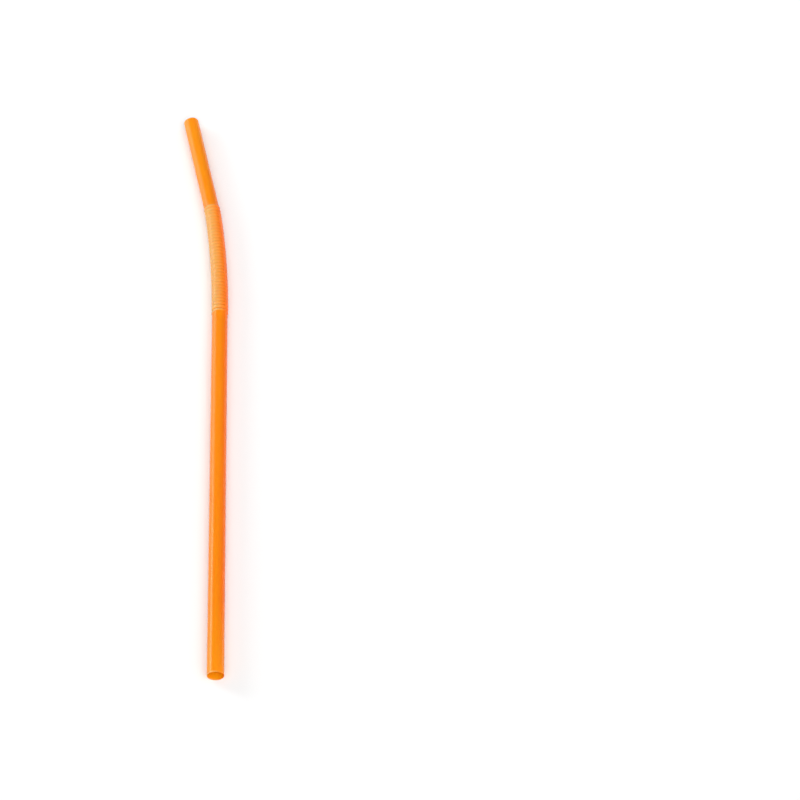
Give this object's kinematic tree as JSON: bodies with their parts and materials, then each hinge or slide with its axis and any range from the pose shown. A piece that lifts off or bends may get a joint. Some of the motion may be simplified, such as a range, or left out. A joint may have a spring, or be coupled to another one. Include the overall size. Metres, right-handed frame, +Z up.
{
  "type": "flexible drinking straw",
  "caption": "Thin plastic drinking straw with a ring-folded bellows near the mouth end, gently bent so that the short mouth tube leans to one side.",
  "frame": {"origin": "middle of the straw's box on the surface that it lies on", "axes": "+Z up, +Y along the drink tube from its open end towards the bellows, mouth tube bent towards -X"},
  "size_m": [0.0188, 0.26, 0.0064],
  "materials": {
    "straw_plastic": "orange polypropylene, satin gloss and slightly translucent"
  },
  "bodies": {
    "root": {"straw": "straw_plastic"}
  },
  "joints": []
}
